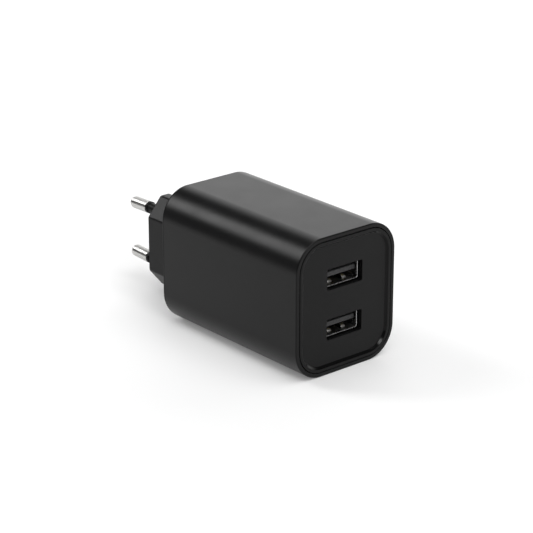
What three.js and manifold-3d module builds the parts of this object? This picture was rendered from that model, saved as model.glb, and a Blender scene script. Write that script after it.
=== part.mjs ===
// Two-port USB wall charger with a fixed two-pin Europlug.
// Millimetres, +Z up. The charger lies on one of its narrow long sides, with the USB ports
// facing -Y and the pins pointing +Y. Inside the model, y is the depth behind the front rim
// and z is the height above the middle of the body; the last lines move the whole group so
// that its origin is the centre of its base.
import * as THREE from 'three';
import { mergeVertices } from 'three/addons/utils/BufferGeometryUtils.js';
import Module from 'manifold-3d';

const wasm = await Module();
wasm.setup();

// ---- driving dimensions -------------------------------------------------------------------

const BODY_WIDTH = 39.2;            // X
const BODY_HEIGHT = 44;             // Z
const BODY_LENGTH = 64.2;           // Y
const CORNER_RADIUS = 10;
const REAR_EDGE_RADIUS = 1.2;
const WALL = 2.2;
const GAP = 0.3;                    // clearance between neighbouring pieces

const RIM_WIDTH = 1.3;              // front end of the shell wall, around the panel
const GROOVE = 0.25;                // parting line between rim and panel
const PANEL_RING = 0.93;            // flat ring at the panel's edge
const PANEL_BEVEL = 0.82;           // sloping band inside the ring
const PANEL_RECESS = 0.64;
const PANEL_THICKNESS = 2.7;
const SKIRT_END = 8;
const SKIRT_THICKNESS = 1.2;

const PORT_WIDTH = 13.9;
const PORT_HEIGHT = 6.6;
const PORT_CORNER = 0.5;
const PORT_Z = { upper: 7.95, lower: -7.95 };
const USB_SHELL_WIDTH = 13.1;
const USB_SHELL_HEIGHT = 5.7;
const USB_SHEET = 0.3;
const USB_SHELL_FRONT = 2.1;
const USB_SHELL_REAR = 16.1;
const FINGER_WIDTH = 1.9;
const FINGER_OFFSET = 2.85;
const FINGER_REACH = { floor: 0.85, roof: 0.3 };
const WINDOW = { width: 2.6, front: 4.0, rear: 9.0 };
const TONGUE_WIDTH = 11.7;
const TONGUE_THICKNESS = 1.5;
const TONGUE_TOP_GAP = 1.05;
const TONGUE_FRONT = 2.8;
const TONGUE_BASE = { width: 12.0, height: 4.6, front: 13.3, rear: 15.8 };
const CONTACT_X = [-3.5, -1.0, 1.0, 3.5];
const CONTACT_WIDTH = 1.0;
const CONTACT_THICKNESS = 0.25;
const CONTACT_ROOT = 13.0;          // rear end of the free contact springs
const CONTACT_NOSE = 6.1;           // lowest point of the spring, where it touches the plug
const CONTACT_TIP = 4.6;

const PLUG_DROP = 5.15;             // plug axis below the middle of the body
const PLUG_WIDTH = 14;
const PLUG_HEIGHT = 30.9;
const PLUG_CHAMFER = { x: 5.2, z: 6.25 };
const PLUG_FACE = 87.9;
const PLUG_WALL = 2.2;
const PLUG_HOLLOW_END = 80;
const FLANGE_LIP = 2;
const FLANGE_THICKNESS = 1.9;

const PIN_RADIUS = 2;
const PIN_LENGTH = 17.2;
const PIN_TIP_FLAT = 0.4;           // radius of the flat at the end of the domed tip
const PIN_SPACING_FACE = 18.0;
const PIN_SPACING_TIP = 17.0;
const PIN_SHANK_RADIUS = 1.3;
const PIN_TAIL = 12;                // how far the pin runs back into the plug
const SLEEVE_LENGTH = 8.4;          // bare of the plug face
const SLEEVE_ROOT = 6;              // moulded into the plug face
const SLEEVE_OUTER = 1.7;
const SLEEVE_INNER = 1.45;
const SLEEVE_COLLAR = 1.1;          // full-width end of the sleeve, against the bare metal
const PIN_BORE = 1.9;
const TERMINAL = { inner: 1.5, outer: 2.0, onPin: 3.2, behindPin: 5.5, wireStart: 3.5 };
const WIRE_RADIUS = 0.9;

const BOARD_THICKNESS = 1.6;
const USB_BOARD = { front: 16.4, width: 28, height: 34 };
const MAIN_BOARD = { width: 32, front: 18.4, rear: 59, top: -13 };
const BOARD_TOP = MAIN_BOARD.top + GAP;                       // where parts stand
const BOARD_UNDER = MAIN_BOARD.top - BOARD_THICKNESS - GAP;   // where parts hang

const BEND_SEGMENTS = 7;            // per quarter turn of a large corner
const ROUND_SEGMENTS = 24;          // around pins and cans

// ---- solids -------------------------------------------------------------------------------

function toSolid(geometry) {
  const bare = geometry.clone();
  bare.deleteAttribute('normal');
  bare.deleteAttribute('uv');
  const merged = mergeVertices(bare, 1e-4);
  return new wasm.Manifold(new wasm.Mesh({
    numProp: 3,
    vertProperties: new Float32Array(merged.attributes.position.array),
    triVerts: new Uint32Array(merged.index.array),
  }));
}

function toGeometry(solid) {
  const mesh = solid.getMesh();
  const geometry = new THREE.BufferGeometry();
  geometry.setAttribute('position', new THREE.BufferAttribute(mesh.vertProperties, 3));
  geometry.setIndex(new THREE.BufferAttribute(mesh.triVerts, 1));
  geometry.computeVertexNormals();
  return geometry;
}

function join(...geometries) {
  return toGeometry(geometries.map(toSolid).reduce((whole, piece) => whole.add(piece)));
}

function common(a, b) {
  return toGeometry(toSolid(a).intersect(toSolid(b)));
}

function cut(geometry, ...tools) {
  return toGeometry(tools.map(toSolid).reduce((left, tool) => left.subtract(tool), toSolid(geometry)));
}

// ---- outlines and bodies ------------------------------------------------------------------

function roundedOutline(width, height, radius) {
  const x = width / 2 - radius;
  const y = height / 2 - radius;
  const outline = new THREE.Shape();
  outline.absarc(x, y, radius, 0, Math.PI / 2);
  outline.absarc(-x, y, radius, Math.PI / 2, Math.PI);
  outline.absarc(-x, -y, radius, Math.PI, 1.5 * Math.PI);
  outline.absarc(x, -y, radius, 1.5 * Math.PI, 2 * Math.PI);
  outline.closePath();
  return outline;
}

function bodyOutline(inset) {
  return roundedOutline(BODY_WIDTH - 2 * inset, BODY_HEIGHT - 2 * inset, CORNER_RADIUS - inset);
}

function plugOutline(grow) {
  const x = PLUG_WIDTH / 2 + grow;
  const z = PLUG_HEIGHT / 2 + grow;
  const inX = x - PLUG_CHAMFER.x - grow * 0.4;
  const inZ = z - PLUG_CHAMFER.z - grow * 0.4;
  return new THREE.Shape([
    [x, inZ], [inX, z], [-inX, z], [-x, inZ], [-x, -inZ], [-inX, -z], [inX, -z], [x, -inZ],
  ].map(([a, b]) => new THREE.Vector2(a, b)));
}

// An outline drawn as seen from the front, carried back from depth front to depth rear.
function along(outline, front, rear, options = {}) {
  const geometry = new THREE.ExtrudeGeometry(outline, {
    depth: rear - front, bevelEnabled: false, curveSegments: BEND_SEGMENTS, ...options,
  });
  geometry.rotateX(Math.PI / 2);
  geometry.translate(0, rear, 0);
  return geometry;
}

// A side profile given as (y, z), carried across from x = left to x = right.
function across(points, left, right) {
  const outline = new THREE.Shape(points.map(([y, z]) => new THREE.Vector2(y, z)));
  const geometry = new THREE.ExtrudeGeometry(outline, { depth: right - left, bevelEnabled: false });
  const [X, Y, Z] = [[1, 0, 0], [0, 1, 0], [0, 0, 1]].map((axis) => new THREE.Vector3(...axis));
  geometry.applyMatrix4(new THREE.Matrix4().makeBasis(Y, Z, X));
  geometry.translate(left, 0, 0);
  return geometry;
}

// A bent sheet-metal strip: its centre line given as (y, z).
function strip(centreLine, thickness, middleX, width) {
  const upper = centreLine.map(([y, z]) => [y, z + thickness / 2]);
  const lower = centreLine.map(([y, z]) => [y, z - thickness / 2]).reverse();
  return across([...upper, ...lower], middleX - width / 2, middleX + width / 2);
}

function block(width, depth, height, x, y, z) {
  return new THREE.BoxGeometry(width, depth, height).translate(x, y, z);
}

// A turned piece: (radius, position) pairs along Y, starting and ending on the axis.
function turned(profile, segments = ROUND_SEGMENTS) {
  return new THREE.LatheGeometry(profile.map(([r, y]) => new THREE.Vector2(r, y)), segments);
}

function turnedTube(inner, outer, from, to) {
  return turned([[inner, from], [outer, from], [outer, to], [inner, to], [inner, from]]);
}

// ---- materials ----------------------------------------------------------------------------

function finish(color, roughness, metalness = 0) {
  return () => new THREE.MeshStandardMaterial({ color, roughness, metalness });
}

const blackPlastic = finish(0x1b1b1c, 0.45);
const nickel = finish(0xc9c7c2, 0.18, 1);
const steel = finish(0x9c9c9e, 0.3, 1);
const gold = finish(0xc9a45a, 0.3, 1);
const tongueBlack = finish(0x2a2a2b, 0.5);
const boardGreen = finish(0x1d5c38, 0.5);
const ferrite = finish(0x3a3b3d, 0.7);
const tapeYellow = finish(0xd8b23a, 0.5);
const epoxyBlack = finish(0x161617, 0.4);
const canSleeve = finish(0x20242c, 0.35);
const copper = finish(0xb4693a, 0.35, 1);
const blueEpoxy = finish(0x2d62b0, 0.4);
const redWire = finish(0xa2382f, 0.5);
const blueWire = finish(0x2f4f9c, 0.5);
const fibreSheet = finish(0xe3ded0, 0.6);
const resistorCoat = finish(0x6f8f6a, 0.5);

const charger = new THREE.Group();

function place(name, geometry, material, parent = charger) {
  const mesh = new THREE.Mesh(geometry, material());
  mesh.name = name;
  parent.add(mesh);
  return mesh;
}

// ---- housing shell: one moulding, open at the front ----------------------------------------

const rearInside = BODY_LENGTH - WALL;

function housingShell() {
  const lead = 3;
  const outer = along(bodyOutline(REAR_EDGE_RADIUS), -lead, BODY_LENGTH - REAR_EDGE_RADIUS, {
    bevelEnabled: true, bevelSegments: 3, bevelSize: REAR_EDGE_RADIUS, bevelThickness: REAR_EDGE_RADIUS,
  });
  const front = block(2 * BODY_WIDTH, 2 * lead, 2 * BODY_HEIGHT, 0, -lead, 0);
  const rebateEnd = PANEL_THICKNESS + GAP;
  const rebate = along(bodyOutline(RIM_WIDTH), -1, rebateEnd);
  const cavity = along(bodyOutline(WALL), rebateEnd - 0.5, rearInside);
  const plugHole = along(plugOutline(GAP / 2), rearInside - 0.01, BODY_LENGTH + 1)
    .translate(0, 0, -PLUG_DROP);
  let shell = cut(outer, front, rebate, cavity, plugHole);
  // Rails that hold the edges of the main board.
  const railDepth = 2.6;
  const railLength = 38;
  const railMiddle = MAIN_BOARD.front + 2 + railLength / 2;
  for (const side of [-1, 1]) {
    const x = side * (BODY_WIDTH / 2 - WALL + 0.2 - railDepth / 2);
    const above = MAIN_BOARD.top + GAP + 0.5;
    const below = MAIN_BOARD.top - BOARD_THICKNESS - GAP - 0.5;
    shell = join(shell, block(railDepth, railLength, 1, x, railMiddle, above));
    shell = join(shell, block(railDepth, railLength, 1, x, railMiddle, below));
  }
  return shell;
}

place('housing_shell', housingShell(), blackPlastic);

// ---- front panel: recessed plate with the two port openings --------------------------------

function frontPanel() {
  const edge = RIM_WIDTH + GROOVE;
  const plate = along(bodyOutline(edge), 0, PANEL_THICKNESS);
  const skirtOuter = WALL + GAP;
  const skirt = cut(
    along(bodyOutline(skirtOuter), PANEL_THICKNESS - 0.1, SKIRT_END),
    along(bodyOutline(skirtOuter + SKIRT_THICKNESS), PANEL_THICKNESS - 1, SKIRT_END + 1),
  );
  const pocket = along(bodyOutline(edge + PANEL_RING + PANEL_BEVEL), -1, 0, {
    bevelEnabled: true, bevelSegments: 1, bevelSize: PANEL_BEVEL, bevelThickness: PANEL_RECESS,
  });
  const port = roundedOutline(PORT_WIDTH, PORT_HEIGHT, PORT_CORNER);
  const openings = Object.values(PORT_Z).map(
    (z) => along(port, -1, PANEL_THICKNESS + 1, { curveSegments: 3 }).translate(0, 0, z),
  );
  return cut(join(plate, skirt), pocket, ...openings);
}

place('front_panel', frontPanel(), blackPlastic);

// ---- plug body: elongated octagon with a flange behind the rear wall ------------------------

const pinTilt = Math.atan((PIN_SPACING_FACE - PIN_SPACING_TIP) / 2 / PIN_LENGTH);

// A pin's frame has its origin in the plug face and its +Y along the pin.
function pinFrame(side) {
  const frame = new THREE.Group();
  frame.position.set(0, PLUG_FACE, -PLUG_DROP + side * PIN_SPACING_FACE / 2);
  frame.rotation.x = -side * pinTilt;
  frame.updateMatrix();
  return frame;
}

// Inside the case the plug is trimmed to the cavity, because the neck sits close to the floor.
function plugBody() {
  const flangeRear = rearInside - GAP;
  const flangeFront = flangeRear - FLANGE_THICKNESS;
  const neckFront = rearInside + GAP;
  const drop = (geometry) => geometry.translate(0, 0, -PLUG_DROP);
  const root = join(
    along(plugOutline(0), flangeFront, neckFront + 0.5),
    along(plugOutline(FLANGE_LIP), flangeFront, flangeRear),
  );
  const cavity = along(bodyOutline(WALL + GAP), flangeFront - 1, neckFront + 0.2);
  const neck = along(plugOutline(0), neckFront, PLUG_FACE);
  const whole = join(common(drop(root), cavity), drop(neck));
  const hollow = along(plugOutline(-PLUG_WALL), flangeFront - 1, PLUG_HOLLOW_END);
  const bores = [-1, 1].map((side) => {
    const bore = turned([[0, -PIN_TAIL], [PIN_BORE, -PIN_TAIL], [PIN_BORE, 2], [0, 2]]);
    return bore.applyMatrix4(pinFrame(side).matrix);
  });
  return cut(whole, drop(hollow), ...bores);
}

place('plug_body', plugBody(), blackPlastic);

// ---- pins, insulating sleeves, crimp terminals and mains wires ------------------------------

function pin() {
  const shoulder = SLEEVE_LENGTH + GAP / 2;
  const profile = [[0, -PIN_TAIL], [PIN_SHANK_RADIUS, -PIN_TAIL], [PIN_SHANK_RADIUS, shoulder]];
  profile.push([PIN_RADIUS, shoulder]);
  const round = PIN_RADIUS - PIN_TIP_FLAT;
  const steps = 5;
  for (let step = 0; step <= steps; step += 1) {
    const angle = (Math.PI / 2) * (step / steps);
    const radius = PIN_TIP_FLAT + round * Math.cos(angle);
    profile.push([radius, PIN_LENGTH - round + round * Math.sin(angle)]);
  }
  profile.push([0, PIN_LENGTH]);
  return turned(profile);
}

function pinSleeve() {
  const collarStart = SLEEVE_LENGTH - SLEEVE_COLLAR;
  return turned([
    [SLEEVE_INNER, -SLEEVE_ROOT], [SLEEVE_OUTER, -SLEEVE_ROOT], [SLEEVE_OUTER, collarStart],
    [PIN_RADIUS, collarStart], [PIN_RADIUS, SLEEVE_LENGTH], [SLEEVE_INNER, SLEEVE_LENGTH],
    [SLEEVE_INNER, -SLEEVE_ROOT],
  ]);
}

// A crimped tube that holds the pin's tail at one end and the wire at the other.
function pinTerminal() {
  const rear = -PIN_TAIL - TERMINAL.behindPin;
  return turnedTube(TERMINAL.inner, TERMINAL.outer, rear, -PIN_TAIL + TERMINAL.onPin);
}

// The wire bends from its terminal down to the rear edge of the main board.
function mainsWire(side) {
  const start = new THREE.Vector3(0, -PIN_TAIL - TERMINAL.wireStart, 0);
  const from = start.applyMatrix4(pinFrame(side).matrix);
  const x = -side * 3;
  const route = new THREE.CatmullRomCurve3([
    from,
    new THREE.Vector3(x * 0.2, from.y - 5, from.z - side * 0.6),
    new THREE.Vector3(x * 0.8, rearInside - 0.5, side > 0 ? -2 : -10.6),
    new THREE.Vector3(x, MAIN_BOARD.rear - 1.6, side > 0 ? -8 : -10.4),
    new THREE.Vector3(x, MAIN_BOARD.rear - 2.6, BOARD_TOP),
  ]);
  const section = new THREE.Shape();
  section.absarc(0, 0, WIRE_RADIUS, 0, 2 * Math.PI);
  return new THREE.ExtrudeGeometry(section, { extrudePath: route, steps: 26, curveSegments: 4 });
}

for (const [name, side, wireColour] of [['live', 1, redWire], ['neutral', -1, blueWire]]) {
  const frame = pinFrame(side);
  charger.add(frame);
  place(`${name}_pin`, pin(), nickel, frame);
  place(`${name}_pin_sleeve`, pinSleeve(), blackPlastic, frame);
  place(`${name}_terminal`, pinTerminal(), steel, frame);
  place(`${name}_wire`, mainsWire(side), wireColour);
}

// ---- USB-A receptacles ----------------------------------------------------------------------

// Spring fingers are cut from the sheet's floor and roof and bent into the mouth.
function fingerLine(reach) {
  const { front, rear } = WINDOW;
  return [
    [rear + 1, 0], [rear - 0.6, 0.05], [front + 2.2, reach * 0.9], [front + 1.3, reach],
    [front + 0.6, reach * 0.75], [front + 0.2, reach * 0.2],
  ];
}

function usbShell() {
  const outline = roundedOutline(USB_SHELL_WIDTH, USB_SHELL_HEIGHT, 0.7);
  const inside = roundedOutline(USB_SHELL_WIDTH - 2 * USB_SHEET, USB_SHELL_HEIGHT - 2 * USB_SHEET, 0.4);
  const few = { curveSegments: 3 };
  let shell = cut(
    along(outline, USB_SHELL_FRONT, USB_SHELL_REAR, few),
    along(inside, USB_SHELL_FRONT - 1, USB_SHELL_REAR + 1, few),
  );
  const sheetMiddle = (USB_SHELL_HEIGHT - USB_SHEET) / 2;
  for (const [face, reach] of [[-1, FINGER_REACH.floor], [1, FINGER_REACH.roof]]) {
    for (const side of [-1, 1]) {
      const x = side * FINGER_OFFSET;
      const length = WINDOW.rear - WINDOW.front;
      const middle = (WINDOW.rear + WINDOW.front) / 2;
      const opening = block(WINDOW.width, length, 4 * USB_SHEET, x, middle, face * sheetMiddle);
      const line = fingerLine(reach).map(([y, z]) => [y, face * (sheetMiddle - z)]);
      shell = join(cut(shell, opening), strip(line, USB_SHEET * 0.98, x, FINGER_WIDTH));
    }
  }
  return shell;
}

const tongueTop = USB_SHELL_HEIGHT / 2 - USB_SHEET - TONGUE_TOP_GAP;
const tongueUnder = tongueTop - TONGUE_THICKNESS;

function usbTongue() {
  const length = TONGUE_BASE.front + 0.5 - TONGUE_FRONT;
  const middle = TONGUE_FRONT + length / 2;
  const blade = block(TONGUE_WIDTH, length, TONGUE_THICKNESS, 0, middle, (tongueTop + tongueUnder) / 2);
  const base = TONGUE_BASE;
  const root = block(base.width, base.rear - base.front, base.height, 0, (base.front + base.rear) / 2, 0);
  return join(blade, root);
}

// A contact is a leaf spring under the tongue: it slopes down to a rounded nose near its tip.
function usbContact(x) {
  const rest = tongueUnder - GAP - CONTACT_THICKNESS / 2;
  const nose = CONTACT_NOSE;
  const line = [
    [CONTACT_ROOT, rest], [CONTACT_ROOT - 2.4, rest], [nose + 0.5, rest - 0.4], [nose, rest - 0.5],
    [nose - 0.5, rest - 0.42], [CONTACT_TIP, rest - 0.1],
  ];
  return strip(line, CONTACT_THICKNESS, x, CONTACT_WIDTH);
}

for (const [port, z] of Object.entries(PORT_Z)) {
  const receptacle = new THREE.Group();
  receptacle.position.z = z;
  charger.add(receptacle);
  place(`usb_${port}_shell`, usbShell(), steel, receptacle);
  place(`usb_${port}_tongue`, usbTongue(), tongueBlack, receptacle);
  CONTACT_X.forEach((x, index) => {
    place(`usb_${port}_contact_${index + 1}`, usbContact(x), gold, receptacle);
  });
}

// ---- circuit boards and chips ---------------------------------------------------------------

const usbBoardMiddle = USB_BOARD.front + BOARD_THICKNESS / 2;
const usbBoard = block(USB_BOARD.width, BOARD_THICKNESS, USB_BOARD.height, 0, usbBoardMiddle, 0);
place('usb_board', usbBoard, boardGreen);

const mainBoardLength = MAIN_BOARD.rear - MAIN_BOARD.front;
const mainBoardMiddle = (MAIN_BOARD.rear + MAIN_BOARD.front) / 2;
const mainBoardZ = MAIN_BOARD.top - BOARD_THICKNESS / 2;
const mainBoard = block(MAIN_BOARD.width, mainBoardLength, BOARD_THICKNESS, 0, mainBoardMiddle, mainBoardZ);
place('main_board', mainBoard, boardGreen);

const CHIP_THICKNESS = 1.4;
const CHIP_WIDTH = 5;

// A flat chip hanging under the main board.
function chipUnderBoard(name, depth, x, y) {
  const z = BOARD_UNDER - CHIP_THICKNESS / 2;
  place(name, block(CHIP_WIDTH, depth, CHIP_THICKNESS, x, y, z), epoxyBlack);
}

chipUnderBoard('bridge_rectifier', 6.4, 8, 53);
chipUnderBoard('controller_chip', 4, -6, 44);
chipUnderBoard('rectifier_chip', 6, 5, 28);

const PORT_CHIP = { height: 4, z: 6 };
const portChipY = USB_BOARD.front + BOARD_THICKNESS + GAP + CHIP_THICKNESS / 2;
const portChip = block(CHIP_WIDTH, CHIP_THICKNESS, PORT_CHIP.height, 0, portChipY, PORT_CHIP.z);
place('port_chip', portChip, epoxyBlack);

const OPTO = { width: 6.5, depth: 4.6, height: 3.4, x: -8.5, y: 23.4 };
const optoZ = BOARD_TOP + OPTO.height / 2;
place('optocoupler', block(OPTO.width, OPTO.depth, OPTO.height, OPTO.x, OPTO.y, optoZ), epoxyBlack);

// A fibre sheet stands against the right-hand wall, beside the transformer.
const SHEET = { thickness: 0.4, length: 36, height: 22.6, y: 41, z: 0.3 };
const sheetX = BODY_WIDTH / 2 - WALL - GAP - SHEET.thickness / 2;
const sheet = block(SHEET.thickness, SHEET.length, SHEET.height, sheetX, SHEET.y, SHEET.z);
place('insulation_sheet', sheet, fibreSheet);

// ---- transformer: two E cores around a wound bobbin -----------------------------------------

const CORE = { width: 21, legWidth: 3.6, centreLeg: 6, back: 3.4, height: 6, length: 20 };
const TRANSFORMER = { y: 37.2, z: -1.2 };
const transformer = new THREE.Group();
transformer.position.set(0, TRANSFORMER.y, TRANSFORMER.z);
charger.add(transformer);

function eCore(end) {
  const { width, legWidth, centreLeg, back, height, length } = CORE;
  const half = length / 2;
  const joint = 0.15;
  const legLength = half - joint;
  const legMiddle = end * (joint + legLength / 2);
  const side = (width - legWidth) / 2;
  return join(
    block(width, back, height, 0, end * (half - back / 2), 0),
    block(centreLeg, legLength, height, 0, legMiddle, 0),
    block(legWidth, legLength, height, side, legMiddle, 0),
    block(legWidth, legLength, height, -side, legMiddle, 0),
  );
}

place('transformer_core_front', eCore(-1), ferrite, transformer);
place('transformer_core_rear', eCore(1), ferrite, transformer);

const BOBBIN = { wall: 0.8, flange: 1, reachX: 6.6, reachZ: 7.4 };

function bobbin() {
  const inX = CORE.centreLeg / 2 + GAP;
  const inZ = CORE.height / 2 + GAP;
  const half = CORE.length / 2 - CORE.back - GAP;
  const { wall, flange, reachX, reachZ } = BOBBIN;
  const footDrop = TRANSFORMER.z - BOARD_TOP;
  const tube = block(2 * (inX + wall), 2 * half, 2 * (inZ + wall), 0, 0, 0);
  const flanges = [-1, 1].map(
    (end) => block(2 * reachX, flange, 2 * reachZ, 0, end * (half - flange / 2), 0),
  );
  const footHeight = footDrop - reachZ + 0.2;
  const feet = [-1, 1].map(
    (end) => block(2 * reachX, flange, footHeight, 0, end * (half - flange / 2), -footDrop + footHeight / 2),
  );
  return cut(join(tube, ...flanges, ...feet), block(2 * inX, CORE.length, 2 * inZ, 0, 0, 0));
}

function winding() {
  const clear = 0.15;
  const inX = CORE.centreLeg / 2 + GAP + BOBBIN.wall + clear;
  const inZ = CORE.height / 2 + GAP + BOBBIN.wall + clear;
  const half = CORE.length / 2 - CORE.back - GAP - BOBBIN.flange - clear;
  const outer = roundedOutline(2 * (BOBBIN.reachX - 0.3), 2 * (BOBBIN.reachZ - 0.5), 1.6);
  return cut(
    along(outer, -half, half, { curveSegments: 3 }),
    block(2 * inX, CORE.length, 2 * inZ, 0, 0, 0),
  );
}

place('transformer_bobbin', bobbin(), epoxyBlack, transformer);
place('transformer_winding', winding(), tapeYellow, transformer);

// ---- round parts that stand on the main board ------------------------------------------------

function standing(name, geometry, material, x, y) {
  geometry.rotateX(Math.PI / 2);
  geometry.translate(x, y, BOARD_TOP);
  place(name, geometry, material);
}

// An electrolytic can with a rolled edge and a crimp groove near its foot.
function can(radius, height) {
  const roll = 0.6;
  return turned([
    [0, 0], [radius - 0.3, 0], [radius, 0.3], [radius, 1.4], [radius - 0.4, 1.8], [radius, 2.2],
    [radius, height - roll], [radius - roll, height], [0, height],
  ], 20);
}

const INPUT_CAN = { radius: 5, height: 17, x: 10, y: 53 };
for (const [number, side] of [[1, 1], [2, -1]]) {
  const capacitor = can(INPUT_CAN.radius, INPUT_CAN.height);
  standing(`input_capacitor_${number}`, capacitor, canSleeve, side * INPUT_CAN.x, INPUT_CAN.y);
}

const OUTPUT_CAN = { radius: 3.8, height: 13, y: 22.8 };
for (const [number, x] of [[1, 11.2], [2, 2.6]]) {
  const capacitor = can(OUTPUT_CAN.radius, OUTPUT_CAN.height);
  standing(`output_capacitor_${number}`, capacitor, canSleeve, x, OUTPUT_CAN.y);
}

// Windings between two flanges of a drum core, standing on end.
function lineInductor() {
  const flange = 3;
  const waist = 2.4;
  const height = 8;
  return turned([
    [0, 0], [flange, 0], [flange, 1], [waist, 1.2], [waist, height - 1.2], [flange, height - 1],
    [flange, height], [0, height],
  ], 20);
}

standing('line_inductor', lineInductor(), copper, 0, 50.9);

// A resistor lying along the board, swollen over its end caps.
function fuseResistor() {
  const cap = 1.9;
  const waist = 1.6;
  const half = 4.5;
  const body = turned([
    [0, -half], [1.5, -half], [cap, -half + 0.4], [cap, -half + 1.6], [waist, -half + 2],
    [waist, half - 2], [cap, half - 1.6], [cap, half - 0.4], [1.5, half], [0, half],
  ], 16);
  return body.translate(-13.4, 42.2, BOARD_TOP + cap + GAP);
}

place('fuse_resistor', fuseResistor(), resistorCoat);

// A flat round capacitor standing on its edge.
function discCapacitor() {
  const radius = 3.5;
  const half = 1.5;
  const disc = turned([
    [0, -half], [radius - 0.9, -half], [radius, -half + 0.8], [radius, half - 0.8],
    [radius - 0.9, half], [0, half],
  ], 20);
  return disc.translate(13, 31.5, BOARD_TOP + radius + GAP);
}

place('y_capacitor', discCapacitor(), blueEpoxy);

// ---- whole charger: base on z = 0, centred in X and Y ----------------------------------------

const pinTipY = PLUG_FACE + PIN_LENGTH * Math.cos(pinTilt) + PIN_TIP_FLAT * Math.sin(pinTilt);
charger.position.set(0, -pinTipY / 2, BODY_HEIGHT / 2);

export default charger;
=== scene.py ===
"""Looks of the USB wall charger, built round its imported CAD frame.

Blender works in metres. The charger's own sizes are written in millimetres and scaled by MM.
Its frame has the USB face towards -Y, the plug towards +Y and the floor at z = 0.
"""
import math

import bmesh
import bpy
from mathutils import Matrix, Vector


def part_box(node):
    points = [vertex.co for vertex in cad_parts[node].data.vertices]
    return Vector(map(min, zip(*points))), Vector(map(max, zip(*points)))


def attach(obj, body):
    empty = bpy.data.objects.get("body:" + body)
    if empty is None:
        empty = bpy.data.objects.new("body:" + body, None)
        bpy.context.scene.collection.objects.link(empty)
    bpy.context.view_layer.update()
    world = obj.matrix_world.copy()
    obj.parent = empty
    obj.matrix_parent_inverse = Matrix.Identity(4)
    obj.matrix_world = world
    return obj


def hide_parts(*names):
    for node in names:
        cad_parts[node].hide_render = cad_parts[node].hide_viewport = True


MM = 0.001

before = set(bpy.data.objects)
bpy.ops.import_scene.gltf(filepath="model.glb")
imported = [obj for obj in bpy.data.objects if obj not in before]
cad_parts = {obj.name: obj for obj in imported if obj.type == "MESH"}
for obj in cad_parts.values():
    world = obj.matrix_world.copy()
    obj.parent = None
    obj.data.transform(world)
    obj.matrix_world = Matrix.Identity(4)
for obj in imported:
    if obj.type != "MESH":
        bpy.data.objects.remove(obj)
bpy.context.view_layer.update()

# ---- sizes, in millimetres, read from the frame or set to suit it ---------------------------


def box_mm(node):
    """A CAD node's lowest and highest corner, in millimetres."""
    low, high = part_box(node)
    return low / MM, high / MM


shell_low, shell_high = box_mm("housing_shell")
panel_low, panel_high = box_mm("front_panel")
shell_size = shell_high - shell_low

WIDTH = shell_size.x
HEIGHT = shell_size.z
FRONT = shell_low.y
REAR = shell_high.y
MIDDLE = (shell_low.z + shell_high.z) / 2
CORNER_RADIUS = 10
WALL = 2.2
RIM_WIDTH = 1.3
PANEL_INSET = (WIDTH - (panel_high.x - panel_low.x)) / 2
SKIRT_END = panel_high.y
PANEL_BACK = FRONT + 2.7
LEDGE = PANEL_BACK + 0.3        # where the housing's rim steps in behind the panel
PANEL_FACE = FRONT + 0.64
RING_WIDTH = 0.93
BEVEL_WIDTH = 0.82
REAR_EDGE_RADIUS = 1.2
HOLE_STEP = REAR - 1.6          # where the hole for the neck narrows inside the rear wall

PORT_WIDTH = 13.9
PORT_HEIGHT = 6.6
PORT_CORNER = 0.5
USB_WIDTH = 13.1
USB_HEIGHT = 5.7
USB_SHEET = 0.3
USB_CORNER = 0.7
USB_FRONT = FRONT + 2.1
USB_REAR = FRONT + 16.1
FINGER_X = (-2.85, 2.85)
FINGER_WIDTH = 1.9
FINGER_TAPER = 0.35
WINDOW_WIDTH = 2.6
WINDOW_FRONT = FRONT + 4.0
WINDOW_REAR = FRONT + 9.0
TONGUE_WIDTH = 11.7
TONGUE_TOP = USB_HEIGHT / 2 - USB_SHEET - 1.05     # above the middle of the port
TONGUE_UNDER = TONGUE_TOP - 1.5
TONGUE_FRONT = FRONT + 2.8
ROOT_FRONT = FRONT + 13.3       # the block that holds the tongue
ROOT_REAR = FRONT + 15.8
CONTACT_X = (-3.5, -1.0, 1.0, 3.5)
CONTACT_WIDTH = 0.98
CONTACT_THICKNESS = 0.24

PLUG_WIDTH = 14.0
PLUG_HEIGHT = 30.9
PLUG_CHAMFER_X = 5.2
PLUG_CHAMFER_Z = 6.25
PLUG_MIDDLE = MIDDLE - 5.15
PLUG_FACE = box_mm("plug_body")[1].y
PIN_LENGTH = 17.2
PIN_RADIUS = 2.0
PIN_SPACING_FACE = 18.0
PIN_SPACING_TIP = 17.0
PIN_TAIL = -11.0                # along the pin, from the plug's face
PIN_TAIL_RADIUS = 1.3
SLEEVE_TAIL = -5.5
SLEEVE_LENGTH = 8.4
SLEEVE_RADIUS = 1.7
SLEEVE_BORE = 1.45
SLEEVE_COLLAR = 1.1

# ---- outlines: closed lists of (x, z), seen from the front -----------------------------------


def arc(centre_x, centre_z, radius, start, end, steps):
    """Points along an arc, angles in degrees."""
    points = []
    for step in range(steps + 1):
        angle = math.radians(start + (end - start) * step / steps)
        points.append((centre_x + radius * math.cos(angle), centre_z + radius * math.sin(angle)))
    return points


def rounded_rectangle(width, height, radius, steps=20):
    """A rectangle about the origin with steps + 1 points on each corner's arc."""
    x = width / 2 - radius
    z = height / 2 - radius
    points = arc(x, z, radius, 0, 90, steps) + arc(-x, z, radius, 90, 180, steps)
    return points + arc(-x, -z, radius, 180, 270, steps) + arc(x, -z, radius, 270, 360, steps)


def circle(radius, steps=48):
    return arc(0, 0, radius, 0, 360, steps)[:-1]


def body_outline(inset):
    """The case's outline from the front, drawn in all round."""
    return rounded_rectangle(WIDTH - 2 * inset, HEIGHT - 2 * inset, CORNER_RADIUS - inset)


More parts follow.
